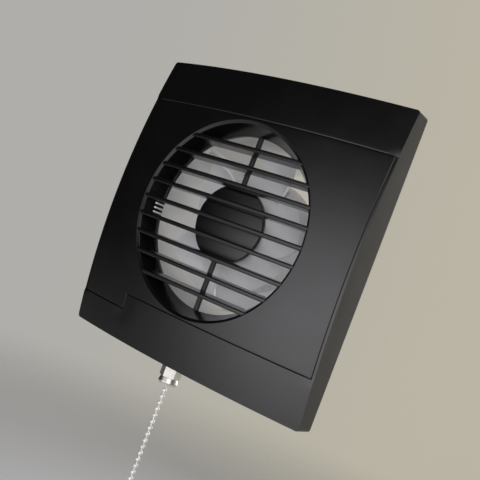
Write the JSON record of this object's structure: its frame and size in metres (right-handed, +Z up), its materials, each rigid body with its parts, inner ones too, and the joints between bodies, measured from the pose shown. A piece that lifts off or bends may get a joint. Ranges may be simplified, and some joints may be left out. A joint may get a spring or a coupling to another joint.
{
  "type": "exhaust fan",
  "caption": "Square wall exhaust fan with a domed, slatted front, a round duct spigot behind, a motor-driven impeller inside and a pull-chain switch under its lower edge.",
  "frame": {"origin": "on the duct axis, in the plane of the wall, at the centre of the four wall screw holes", "axes": "+X to the viewer's right, +Y from the front into the wall along the duct axis, +Z up"},
  "size_m": [0.158, 0.084, 0.3159],
  "materials": {
    "black_plastic": "glossy black moulded plastic",
    "white_plastic": "satin white moulded plastic",
    "impeller_plastic": "satin pale moulded plastic",
    "zinc_steel": "zinc plated",
    "shaft_steel": "ground",
    "stack_steel": "laminated sheet, oiled",
    "rotor_aluminium": "cast",
    "washer_plastic": "natural nylon",
    "coil_copper": "enamelled copper wire",
    "bearing_bronze": "sintered bronze",
    "terminal_plastic": "moulded",
    "terminal_brass": "turned",
    "grommet_rubber": "moulded",
    "switch_plastic": "moulded",
    "nickel": "nickel plated",
    "bell_plastic": "moulded",
    "wire_insulation": "extruded insulation"
  },
  "bodies": {
    "fan_body": {"cover_frame": "black_plastic", "grille_panel": "black_plastic", "throat_guard": "black_plastic", "housing": "white_plastic", "duct_tube": "white_plastic", "motor_bracket": "white_plastic", "motor_cap": "white_plastic", "cable_clamp": "white_plastic", "motor_cap_screws": "zinc_steel", "clamp_screws": "zinc_steel", "stator_core": "stack_steel", "stator_coils": "coil_copper", "front_bearing": "bearing_bronze", "rear_bearing": "bearing_bronze", "terminal_block": "terminal_plastic", "terminal_screws": "terminal_brass", "cable_grommet": "grommet_rubber", "switch_body": "switch_plastic", "switch_bush": "nickel", "switch_nut": "nickel", "bell_mouth": "nickel", "motor_lead": "wire_insulation", "switch_lead": "wire_insulation"},
    "rotor": {"impeller": "impeller_plastic", "impeller_nut": "zinc_steel", "motor_shaft": "shaft_steel", "rotor_core": "stack_steel", "rotor_end_rings": "rotor_aluminium", "thrust_washers": "washer_plastic"},
    "pull": {"switch_plunger": "switch_plastic", "pull_chain": "nickel", "chain_bell": "bell_plastic"}
  },
  "joints": [
    {"name": "impeller_spin", "type": "hinge", "parent": "fan_body", "child": "rotor", "pos_m": [0, 0, 0], "axis": [0, 1, 0], "continuous": true},
    {"name": "chain_pull", "type": "slide", "parent": "fan_body", "child": "pull", "axis": [0, 0, -1], "range_m": [0, 0.007], "stiffness_N_per_m": 300, "springref_m": -0.005}
  ]
}
